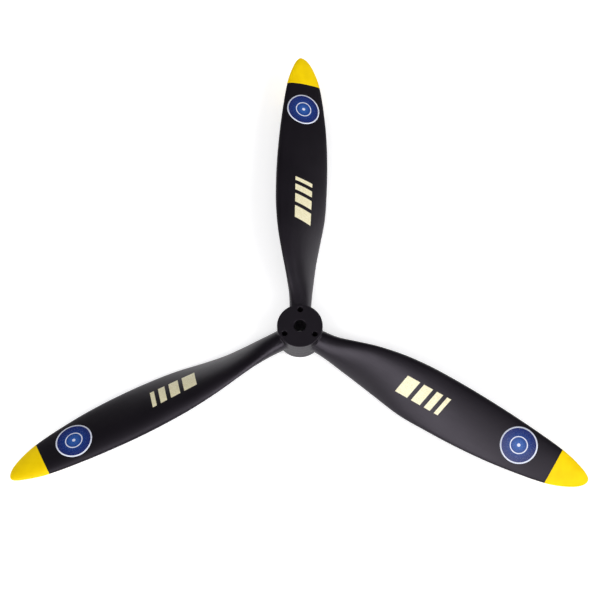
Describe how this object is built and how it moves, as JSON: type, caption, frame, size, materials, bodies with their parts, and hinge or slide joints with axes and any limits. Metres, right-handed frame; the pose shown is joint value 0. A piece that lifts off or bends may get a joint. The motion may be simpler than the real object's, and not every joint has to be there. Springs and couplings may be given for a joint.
{
  "type": "wooden propeller",
  "caption": "Wooden propeller with twisted blades, laminated from boards and lacquered black with yellow tips, with a bored hub and bolt holes.",
  "frame": {"origin": "centre of the shaft bore at the hub's rear face", "axes": "+Z forward along the shaft, towards the viewer of the propeller's front face; +Y along blade 1; +X to the right seen from the front"},
  "size_m": [0.441, 0.3858, 0.0311],
  "materials": {
    "lacquered_wood": "satin",
    "roundel_film": "satin",
    "stripe_film": "satin"
  },
  "bodies": {
    "root": {"blade_1_board_1": "lacquered_wood", "blade_1_board_2": "lacquered_wood", "blade_1_board_3": "lacquered_wood", "blade_1_board_4": "lacquered_wood", "blade_1_board_5": "lacquered_wood", "blade_1_board_6": "lacquered_wood", "blade_2_board_1": "lacquered_wood", "blade_2_board_2": "lacquered_wood", "blade_2_board_3": "lacquered_wood", "blade_2_board_4": "lacquered_wood", "blade_2_board_5": "lacquered_wood", "blade_2_board_6": "lacquered_wood", "blade_3_board_1": "lacquered_wood", "blade_3_board_2": "lacquered_wood", "blade_3_board_3": "lacquered_wood", "blade_3_board_4": "lacquered_wood", "blade_3_board_5": "lacquered_wood", "blade_3_board_6": "lacquered_wood", "blade_1_roundel": "roundel_film", "blade_2_roundel": "roundel_film", "blade_3_roundel": "roundel_film", "blade_1_stripes": "stripe_film", "blade_2_stripes": "stripe_film", "blade_3_stripes": "stripe_film"}
  },
  "joints": []
}
